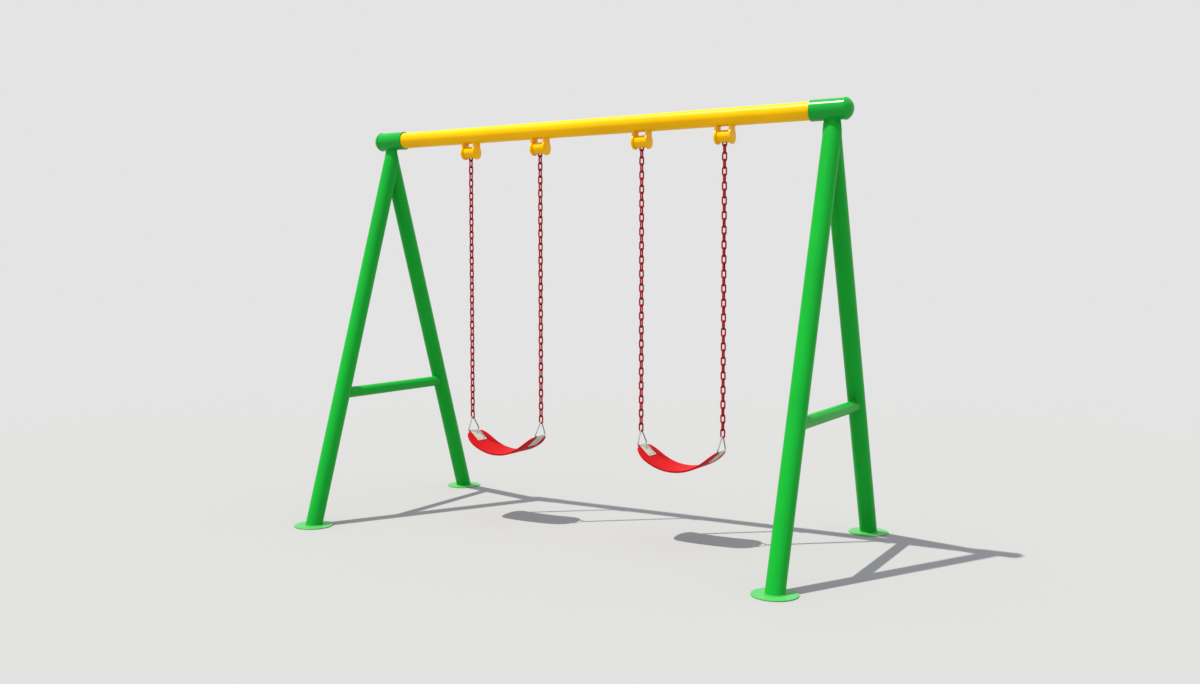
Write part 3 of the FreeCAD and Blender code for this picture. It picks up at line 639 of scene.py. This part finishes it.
CHEEK_GAP = 66 * MM
CHEEK_THICKNESS = 11 * MM
CHEEK_NECK = 28 * MM
CHEEK_DISC = 39 * MM
CHEEK_EDGE = 1.2 * MM
CHEEK_WELD_ROUNDING = 1 * MM
PIN_HOLE_CHAMFER = 0.5 * MM
PIN_RADIUS = 8.5 * MM
BARREL_BORE = 13 * MM
BARREL_ROUNDING = 1.6 * MM
SEAT_MOUTH_ROUNDING = 0.5 * MM
SEAT_FOOT_ROUNDING = 0.3 * MM
BORE_ROUNDING = 0.4 * MM
BEARING_SEAT = 20 * MM
BEARING_WIDTH = 12 * MM
WIRE = 8 * MM
LINK_WIDTH = 28 * MM
LINK_BEND = (LINK_WIDTH - WIRE) / 2
LINKS_ABOVE_LAST = 39
LINK_PATH_STEP = 1.3 * MM
LINK_FLASH = 0.10
LINK_FLASH_HEIGHT = 1.7 * MM
LINK_RUB_HEIGHT = 1.1 * MM
LINK_RUB_WIDTH = 3.6 * MM
EYE_PATH_STEP = 1 * MM
EYE_RUB_HEIGHT = 1.2 * MM
EYE_RUB_WIDTH = 4 * MM

pivot_height = joint_places["swivel_1"].z
drop = beam_height - pivot_height


def cheek_outline(grow):
    """Keyhole outline about the pin's centre, with every edge moved outwards by grow."""
    neck = CHEEK_NECK + grow
    disc = CHEEK_DISC + grow
    cope = beam_radius - min(grow, 0)
    shoulder = math.degrees(math.acos(neck / disc))
    lower = arc((0, 0), disc, 180 - shoulder, 360 + shoulder, 4)
    top = math.degrees(math.asin(neck / cope))
    upper = arc((0, drop), cope, -90 + top, -90 - top, 4)
    return np.array(lower + upper)


def spoke_radii(outline, angles):
    """How far an outline is from the origin in each direction."""
    points = np.vstack([outline, outline[:1]])
    radii = []
    for angle in angles:
        ray = np.array([math.cos(angle), math.sin(angle)])
        start, end = points[:-1], points[1:]
        edge = end - start
        cross = ray[0] * edge[:, 1] - ray[1] * edge[:, 0]
        with np.errstate(divide="ignore", invalid="ignore"):
            reach = (start[:, 0] * edge[:, 1] - start[:, 1] * edge[:, 0]) / cross
            share = (start[:, 0] * ray[1] - start[:, 1] * ray[0]) / cross
        hit = (share >= -1e-9) & (share <= 1 + 1e-9) & (reach > 0)
        radii.append(np.min(reach[hit]))
    return np.array(radii)


def cheek_angles():
    """Directions from the pin that pass through every corner of the outline."""
    corners = cheek_outline(0)
    plain = np.arctan2(corners[:, 1], corners[:, 0])
    extra = np.radians(np.arange(-180, 180, 3.0))
    angles = np.sort(np.concatenate([plain, extra]))
    return angles[np.concatenate([[True], np.diff(angles) > math.radians(0.4)])]


def cheek_plate(x_inner, x_outer):
    """One cheek: a coped keyhole plate with rounded edges and a pin hole."""
    angles = cheek_angles()
    spokes = np.stack([np.cos(angles), np.sin(angles)], axis=1)
    rings = []
    for face_x, inwards in ((x_inner, 1), (x_outer, -1)):
        quarter = np.radians([0, 30, 60, 90])
        quarter = quarter if inwards > 0 else quarter[::-1]
        for a in quarter:
            inset = CHEEK_EDGE * (1 - math.sin(a))
            x = face_x + inwards * CHEEK_EDGE * (1 - math.cos(a))
            rings.append((x, spokes * spoke_radii(cheek_outline(-inset), angles)[:, None]))
    for face_x, inwards in ((x_outer, -1), (x_inner, 1)):
        for step in ((0, PIN_HOLE_CHAMFER), (PIN_HOLE_CHAMFER, 0))[::1 if inwards < 0 else -1]:
            rings.append((face_x + inwards * step[0], spokes * (PIN_RADIUS + step[1])))
    vertices = [np.column_stack([np.full(len(ring), x), ring]) for x, ring in rings]
    vertices = np.vstack(vertices)
    return vertices, grid_faces(len(rings), len(angles), True, True)


def cheek_weld(x):
    """A bead all round a cheek's foot, on the beam."""
    reach = math.asin(CHEEK_NECK / beam_radius) * beam_radius
    half = CHEEK_THICKNESS / 2
    corners = [(half, reach), (-half, reach), (-half, -reach), (half, -reach)]
    loop = rounded([(*corner, CHEEK_WELD_ROUNDING) for corner in corners])
    loop = evenly(loop, WELD_STEP)
    angle = loop[:, 1] / beam_radius
    path = np.column_stack([
        x + loop[:, 0],
        beam_radius * np.sin(angle),
        beam_height - beam_radius * np.cos(angle),
    ])
    return weld(path, CHEEK_WELD, Z_AXIS)


def barrel_surface(half_length, radius):
    """The bearing housing: a turned tube with a stepped bore."""
    seat = half_length - BEARING_WIDTH
    corners = [
        (BEARING_SEAT, -half_length, SEAT_MOUTH_ROUNDING),
        (radius, -half_length, BARREL_ROUNDING),
        (radius, half_length, BARREL_ROUNDING),
        (BEARING_SEAT, half_length, SEAT_MOUTH_ROUNDING),
        (BEARING_SEAT, seat, SEAT_FOOT_ROUNDING),
        (BARREL_BORE, seat, BORE_ROUNDING),
        (BARREL_BORE, -seat, BORE_ROUNDING),
        (BEARING_SEAT, -seat, SEAT_FOOT_ROUNDING),
    ]
    return lathe(rounded(corners), segments=96, closed=True)


def eye_surface(place, bottom):
    """The half link welded under a barrel."""
    bend_height = bottom + WIRE / 2 + LINK_BEND
    into_barrel = place.z - barrel_radius + 2 * MM
    corners = [
        (-LINK_BEND, into_barrel, 0),
        (-LINK_BEND, bend_height - LINK_BEND, LINK_BEND * 0.999),
        (LINK_BEND, bend_height - LINK_BEND, LINK_BEND * 0.999),
        (LINK_BEND, into_barrel, 0),
    ]
    flat = evenly(rounded(corners, closed=False, step=6), EYE_PATH_STEP, closed=False)
    path = np.column_stack([place.x + flat[:, 0], np.full(len(flat), place.y), flat[:, 1]])
    surface = wire(path, WIRE / 2, Y_AXIS, sides=16, closed=False)
    seat_z = bottom + WIRE
    across = surface[0][:, 0] - place.x
    above = surface[0][:, 2] - seat_z
    wear = np.exp(-((above / EYE_RUB_HEIGHT) ** 2) - (across / EYE_RUB_WIDTH) ** 2)
    return surface, wear


barrel_radius = size_of("hanger_1_barrel").z / 2
barrel_half_length = size_of("hanger_1_barrel").x / 2
yellow_beads = Shape()
for number in range(1, 5):
    name = f"hanger_{number}"
    place = joint_places[f"swivel_{number}"]
    cheeks = Shape()
    for sign in SIDES.values():
        inner = CHEEK_GAP / 2
        outer = inner + CHEEK_THICKNESS
        faces_x = sorted((place.x + sign * inner, place.x + sign * outer))
        vertices, faces = cheek_plate(*faces_x)
        cheeks.add((vertices + (0, place.y, place.z), faces))
        yellow_beads.add(cheek_weld(place.x + sign * (inner + outer) / 2))
    make_piece(f"{name}_cheek_plates", cheeks, FINISHES["yellow_powder_coat"], "frame",
               [f"{name}_cheeks"])
    barrel = moved(barrel_surface(barrel_half_length, barrel_radius), place, X_AXIS)
    make_piece(f"{name}_housing", Shape().add(barrel), FINISHES["yellow_powder_coat"],
               f"swivel_{number}", [f"{name}_barrel"])
    eye_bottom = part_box(f"{name}_eye")[0].z
    eye, wear = eye_surface(place, eye_bottom)
    eye_shape = Shape().add(eye, wear)
    for sign in SIDES.values():
        turn = np.radians(np.arange(0, 360, 10.0))
        y = WIRE / 2 * np.sin(turn)
        collar = np.column_stack([
            place.x + sign * LINK_BEND + WIRE / 2 * np.cos(turn),
            place.y + y,
            place.z - np.sqrt(barrel_radius**2 - y**2),
        ])
        eye_shape.add(weld(collar, EYE_WELD, Z_AXIS))
    make_piece(f"{name}_eye_wire", eye_shape, FINISHES["red_chain_coat"],
               f"swivel_{number}", [f"{name}_eye"])
make_piece("hanger_welds", yellow_beads, FINISHES["yellow_powder_coat"], "frame")

# ------------------------------------------------------------------------------- chains


def link_surface(height, turned):
    """One welded link about its own centre; turned puts it in the plane across the beam."""
    reach = (height - WIRE) / 2
    bend = LINK_BEND * 0.999
    corners = [(LINK_BEND, reach, bend), (-LINK_BEND, reach, bend),
               (-LINK_BEND, -reach, bend), (LINK_BEND, -reach, bend)]
    flat = evenly(rounded(corners, step=7.5), LINK_PATH_STEP)
    zero = np.zeros(len(flat))
    flash = np.exp(-((flat[:, 1] / LINK_FLASH_HEIGHT) ** 2)) * (flat[:, 0] < 0)
    radii = WIRE / 2 * (1 + LINK_FLASH * flash)
    if turned:
        path = np.column_stack([zero, flat[:, 0], flat[:, 1]])
    else:
        path = np.column_stack([flat[:, 0], zero, flat[:, 1]])
    vertices, faces = wire(path, radii, X_AXIS if turned else Y_AXIS, sides=14)
    across = vertices[:, 1] if turned else vertices[:, 0]
    rub = height / 2 - WIRE
    above = np.abs(vertices[:, 2]) - rub
    wear = np.exp(-((above / LINK_RUB_HEIGHT) ** 2) - (across / LINK_RUB_WIDTH) ** 2)
    return (vertices, faces), wear


for number in range(1, 5):
    low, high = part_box(f"chain_{number}")
    last_low, last_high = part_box(f"last_link_{number}")
    link_height = last_high.z - last_low.z
    pitch = (high.z - last_high.z) / LINKS_ABOVE_LAST
    surfaces = {turned: link_surface(link_height, turned) for turned in (True, False)}
    x = (last_low.x + last_high.x) / 2
    chain = Shape()
    for link in range(LINKS_ABOVE_LAST):
        (vertices, faces), wear = surfaces[link % 2 == 0]
        middle = high.z - link_height / 2 - link * pitch
        chain.add((vertices + (x, 0, middle), faces), wear)
    make_piece(f"chain_{number}_wire", chain, FINISHES["red_chain_coat"],
               f"chain_{number}_links", [f"chain_{number}"])
    (vertices, faces), wear = surfaces[False]
    middle = (last_low.z + last_high.z) / 2
    last = Shape().add((vertices + (x, 0, middle), faces), wear)
    make_piece(f"last_link_{number}_wire", last, FINISHES["red_chain_coat"],
               f"end_link_{number}", [f"last_link_{number}"])

# -------------------------------------------------------------------------------- seats

BELT_RADIUS = 275 * MM
BELT_ANGLE = math.radians(42)
BELT_THICKNESS = 10 * MM
BELT_STATIONS = 181
BELT_EDGE = 2.2 * MM
BELT_SEAM = 0.35 * MM
SEAM_HALF_WIDTH = 0.5 * MM
SMALLEST_EDGE = 0.05 * MM
BELT_CORNER_START = 152 * MM
BELT_CORNER_RADIUS = 71 * MM
FOLD_REACH = 223 * MM
BELT_END_GAP = 6.5 * MM
PLATE_THICKNESS = 2 * MM
PLATE_ANGLE = math.radians(36.5)
PLATE_CORNER = 3 * MM
PLATE_EDGE = 0.7 * MM
RING_WIRE = 7 * MM
RING_APEX_RADIUS = 10 * MM
RING_CORNER_RADIUS = 10 * MM
RING_PATH_STEP = 1.5 * MM
RING_FLASH = 0.09
RING_FLASH_HEIGHT = 2 * MM
RIVET_RADIUS = 3 * MM
RIVET_HEAD_RADIUS = 6 * MM
RIVET_HEAD_HEIGHT = 2.6 * MM
RIVET_RIM_HEIGHT = 0.35 * MM
RIVET_RIM_ROUNDING = 0.25 * MM
RIVET_FOOT_ROUNDING = 0.1 * MM
RIVET_PAIR_ANGLE = math.radians(39.2)
RIVET_PAIR_SPACING = 36 * MM
RIVET_SINGLE_REACH = 25 * MM
TAIL = (FOLD_REACH - BELT_RADIUS * math.sin(BELT_ANGLE)) / math.cos(BELT_ANGLE)
ARC_LENGTH = BELT_RADIUS * BELT_ANGLE


def belt_place(travel, depth=0.0):
    """Point and outward normal (x, z) at a distance along the belt from its middle."""
    sign = math.copysign(1, travel)
    angle = min(abs(travel) / BELT_RADIUS, BELT_ANGLE)
    along = max(abs(travel) - ARC_LENGTH, 0.0)
    radius = BELT_RADIUS + depth
    x = sign * (radius * math.sin(angle) + along * math.cos(angle))
    z = -radius * math.cos(angle) + along * math.sin(angle)
    return np.array([x, z]), np.array([sign * math.sin(angle), -math.cos(angle)])


def section(half_width, half_thickness, edge, seam=0.0):
    """Rounded outline across a strip, with a thin moulding seam round its edge."""
    points = []
    for sign in (1, -1):
        inner_y = half_width - edge
        inner_n = half_thickness - edge
        for a in np.radians(np.linspace(-90, 0, 6) if sign > 0 else np.linspace(90, 180, 6)):
            y = sign * inner_y + edge * math.cos(a)
            points.append((y, -sign * inner_n + edge * math.sin(a)))
        seam_foot = min(SEAM_HALF_WIDTH, inner_n * 0.9)
        points.append((sign * half_width, -sign * seam_foot))
        points.append((sign * (half_width + seam), 0.0))
        points.append((sign * half_width, sign * seam_foot))
        for a in np.radians(np.linspace(0, 90, 6) if sign > 0 else np.linspace(180, 270, 6)):
            y = sign * inner_y + edge * math.cos(a)
            points.append((y, sign * inner_n + edge * math.sin(a)))
        for share in np.linspace(0.8, -0.8, 9):
            points.append((sign * inner_y * share, sign * half_thickness))
    return np.array(points)


def strip(stations, half_thickness, edge, seam=0.0):
    """A bent strip; stations are (point, normal, half width), its ends rounded like its edges."""
    rows = []
    first, last = stations[0], stations[-1]
    ends = []
    for a in np.radians([0, 22.5, 45, 67.5]):
        ends.append((edge * (1 - math.cos(a)), edge * (1 - math.sin(a))))
    start_direction = unit(np.array(stations[1][0]) - first[0])
    end_direction = unit(np.array(last[0]) - stations[-2][0])
    for along, inset in ends:
        rows.append((first[0] + start_direction * along, first[1], first[2], inset))
    travel = 0.0
    total = sum(np.linalg.norm(b[0] - a[0]) for a, b in zip(stations, stations[1:]))
    for before, here in zip([first, *stations], stations):
        travel += np.linalg.norm(here[0] - before[0])
        if edge * 1.02 < travel < total - edge * 1.02:
            rows.append((*here, 0.0))
    for along, inset in reversed(ends):
        rows.append((last[0] - end_direction * along, last[1], last[2], inset))
    vertices = []
    for point, normal, half_width, inset in rows:
        around = section(half_width - inset, half_thickness - inset,
                         max(edge - inset, SMALLEST_EDGE), 0.0 if inset else seam)
        for y, n in around:
            vertices.append((point[0] + n * normal[0], y, point[1] + n * normal[1]))
    count = len(around)
    faces = grid_faces(len(rows), count, False, True)
    faces.append(list(range(count)))
    faces.append(list(range(len(vertices) - count, len(vertices))))
    return np.array(vertices), faces


def belt_surface(half_width):
    """The moulded belt: straight sides that round in towards each end."""
    reach = ARC_LENGTH + TAIL - BELT_END_GAP
    stations = []
    for travel in np.linspace(-reach, reach, BELT_STATIONS):
        point, normal = belt_place(travel)
        past = max(abs(point[0]) - BELT_CORNER_START, 0.0)
        cut = BELT_CORNER_RADIUS - math.sqrt(BELT_CORNER_RADIUS**2 - past**2)
        stations.append((point, normal, half_width - cut))
    return strip(stations, BELT_THICKNESS / 2, BELT_EDGE, BELT_SEAM)


def plate_surface(sign, half_width):
    """A sheet folded round a ring's bar, with a flap on each face of the belt."""
    depth = BELT_THICKNESS / 2 + PLATE_THICKNESS / 2
    flap = ARC_LENGTH + TAIL - BELT_RADIUS * PLATE_ANGLE
    travels = np.linspace(ARC_LENGTH + TAIL - flap, ARC_LENGTH + TAIL, 26)
    upper = [belt_place(sign * travel, -depth) for travel in travels]
    lower = [belt_place(sign * travel, depth) for travel in reversed(travels)]
    fold, normal = belt_place(sign * (ARC_LENGTH + TAIL))
    outwards = np.array([sign * math.cos(BELT_ANGLE), math.sin(BELT_ANGLE)])
    bend = []
    for a in np.radians(np.linspace(-90, 90, 19)[1:-1]):
        direction = math.cos(a) * outwards + math.sin(a) * normal
        bend.append((fold + depth * direction, direction))
    course = [(point, -out) for point, out in upper] + bend + lower
    points = np.array([point for point, _ in course])
    steps = np.linalg.norm(np.diff(points, axis=0), axis=1)
    travel = np.concatenate([[0], np.cumsum(steps)])
    stations = []
    for (point, out), here in zip(course, travel):
        left = max(PLATE_CORNER - min(here, travel[-1] - here), 0.0)
        cut = PLATE_CORNER - math.sqrt(PLATE_CORNER**2 - left**2)
        stations.append((point, out, half_width - cut))
    return strip(stations, PLATE_THICKNESS / 2, PLATE_EDGE)


def rivet_surface(place, along, grip):
    """A rivet with a domed head on each face of the grip."""
    rise = RIVET_HEAD_HEIGHT
    dome = (RIVET_HEAD_RADIUS**2 + rise**2) / (2 * rise)
    top = math.acos((dome - rise) / dome)
    half = grip / 2
    head = [(dome * math.sin(a), half + rise - dome + dome * math.cos(a))
            for a in np.linspace(0, top * 0.88, 9)]
    rim = rounded([
        (*head[-1], 0),
        (RIVET_HEAD_RADIUS, half + RIVET_RIM_HEIGHT, RIVET_RIM_ROUNDING),
        (RIVET_HEAD_RADIUS, half, RIVET_FOOT_ROUNDING),
        (RIVET_RADIUS, half, 0),
    ], closed=False)
    upper = head[:-1] + rim
    lower = [(radius, -height) for radius, height in reversed(upper)]
    return moved(lathe(upper + lower, segments=28), place, along)


def ring_surface(bar, apex, half_width):
    """A triangular ring of round bar, with the flash of its butt weld on one side."""
    height = np.linalg.norm(apex - bar)
    rise = (apex - bar) / height
    corner_y = half_width - RING_CORNER_RADIUS
    apex_h = height - RING_APEX_RADIUS
    reach = math.hypot(corner_y, RING_CORNER_RADIUS - apex_h)
    tilt = math.degrees(math.atan2(RING_CORNER_RADIUS - apex_h, corner_y)
                        + math.acos((RING_APEX_RADIUS - RING_CORNER_RADIUS) / reach))
    corner = arc((corner_y, RING_CORNER_RADIUS), RING_CORNER_RADIUS, -90, tilt)
    top = arc((0, apex_h), RING_APEX_RADIUS, tilt, 180 - tilt)
    other = [(-y, h) for y, h in reversed(corner)]
    flat = evenly(corner + top + other, RING_PATH_STEP)
    weld_height = height * 0.45
    above = flat[:, 1] - weld_height
    flash = np.exp(-((above / RING_FLASH_HEIGHT) ** 2)) * (flat[:, 0] < 0)
    radii = RING_WIRE / 2 * (1 + RING_FLASH * flash)
    path = bar + flat[:, :1] * Y_AXIS + flat[:, 1:] * rise
    return wire(path, radii, np.cross(rise, Y_AXIS), sides=18)


fold_point, _ = belt_place(ARC_LENGTH + TAIL)
for side, side_sign in SIDES.items():
    belt_low, belt_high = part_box(f"belt_{side}")
    seat = np.array([(belt_low.x + belt_high.x) / 2, 0.0,
                     belt_low.z + BELT_RADIUS + BELT_THICKNESS / 2])
    body = f"seat_{side}"
    vertices, faces = belt_surface((belt_high.y - belt_low.y) / 2)
    make_piece(f"belt_{side}_moulding", Shape().add((vertices + seat, faces)),
               FINISHES["red_belt_rubber"], body, [f"belt_{side}"])
    rivets = Shape()
    grip = BELT_THICKNESS + 2 * PLATE_THICKNESS
    for sign in SIDES.values():
        number = 1 + (side_sign > 0) * 2 + (sign > 0)
        plate = f"seat_plate_{number}"
        vertices, faces = plate_surface(sign, size_of(plate).y / 2)
        make_piece(f"{plate}_sheet", Shape().add((vertices + seat, faces)),
                   FINISHES["plate_steel"], body, [plate])
        for travel, y in (
            (RIVET_PAIR_ANGLE * BELT_RADIUS, -RIVET_PAIR_SPACING / 2),
            (RIVET_PAIR_ANGLE * BELT_RADIUS, RIVET_PAIR_SPACING / 2),
            (ARC_LENGTH + RIVET_SINGLE_REACH, 0.0),
        ):
            point, normal = belt_place(sign * travel)
            place = seat + (point[0], y, point[1])
            rivets.add(rivet_surface(place, (normal[0], 0.0, normal[1]), grip))
        ring = f"ring_{number}"
        low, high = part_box(ring)
        bar = np.array([seat[0] + sign * fold_point[0], 0.0, low.z + RING_WIRE / 2])
        line = joint_places[f"swivel_{number}"].x
        apex = np.array([line, 0.0, high.z - RING_WIRE / 2])
        surface = ring_surface(bar, apex, (high.y - low.y - RING_WIRE) / 2)
        make_piece(f"{ring}_bar", Shape().add(surface), FINISHES["ring_steel"], body,
                   [ring])
    make_piece(f"belt_rivets_{side}_heads", rivets, FINISHES["rivet_steel"], body,
               [f"belt_rivets_{side}"])

# ------------------------------------------------------------- floor, light and camera

FLOOR_RADIUS = 45.0
NEAR_FLOOR = (0.341, 0.339, 0.333)
FAR_FLOOR = (0.342, 0.342, 0.342)
BACKGROUND = (0.775, 0.775, 0.775)
SUN_DIRECTION = Vector((0.300, 0.237, -0.924))
SUN_STRENGTH = 4.85
SUN_COLOUR = (1.0, 0.988, 0.920)
SUN_ANGLE = math.radians(0.7)
FILL_DIRECTION = Vector((-0.20, 0.30, -0.93))
FILL_STRENGTH = 0.62
FILL_COLOUR = (0.36, 0.45, 1.0)
FILL_ANGLE = math.radians(100)
CAMERA_PLACE = Vector((3.0748, -5.1884, 1.3803))
CAMERA_AIM = Vector((0.0771, 0.0, 1.0083))
CAMERA_LENS = 34.106

ground = bmesh.new()
bmesh.ops.create_circle(ground, cap_ends=True, radius=FLOOR_RADIUS, segments=96)
floor_mesh = bpy.data.meshes.new("floor")
ground.to_mesh(floor_mesh)
ground.free()
floor = bpy.data.objects.new("floor", floor_mesh)
scene.collection.objects.link(floor)
floor_finish = Finish("pale_floor", 1.0, specular=0.0)
distance = floor_finish.tree.nodes.new("ShaderNodeVectorMath")
distance.operation = "LENGTH"
floor_finish.link(floor_finish.place, distance.inputs[0])
away = floor_finish.spread(distance.outputs["Value"], 1.5, 9.0, 0.0, 1.0)
floor_finish.colour(floor_finish.ramp(away, [(0.0, NEAR_FLOOR), (1.0, FAR_FLOOR)]))
floor_mesh.materials.append(floor_finish.material)

world = bpy.data.worlds.new("studio")
world.use_nodes = True
world.node_tree.nodes["Background"].inputs["Color"].default_value = (*BACKGROUND, 1.0)
world.node_tree.nodes["Background"].inputs["Strength"].default_value = 1.0
scene.world = world

sun_lamp = bpy.data.lights.new("sun", "SUN")
sun_lamp.energy = SUN_STRENGTH
sun_lamp.color = SUN_COLOUR
sun_lamp.angle = SUN_ANGLE
sun = bpy.data.objects.new("sun", sun_lamp)
sun.rotation_euler = SUN_DIRECTION.to_track_quat("-Z", "Y").to_euler()
scene.collection.objects.link(sun)

fill_lamp = bpy.data.lights.new("fill", "SUN")
fill_lamp.energy = FILL_STRENGTH
fill_lamp.color = FILL_COLOUR
fill_lamp.angle = FILL_ANGLE
fill = bpy.data.objects.new("fill", fill_lamp)
fill.rotation_euler = FILL_DIRECTION.to_track_quat("-Z", "Y").to_euler()
scene.collection.objects.link(fill)

camera_data = bpy.data.cameras.new("camera")
camera_data.lens = CAMERA_LENS
camera_data.sensor_width = 36.0
camera_data.clip_start = 0.1
camera_data.clip_end = 200.0
camera = bpy.data.objects.new("camera", camera_data)
camera.location = CAMERA_PLACE
camera.rotation_euler = (CAMERA_AIM - CAMERA_PLACE).to_track_quat("-Z", "Y").to_euler()
scene.collection.objects.link(camera)
scene.camera = camera
scene.view_settings.view_transform = "Standard"
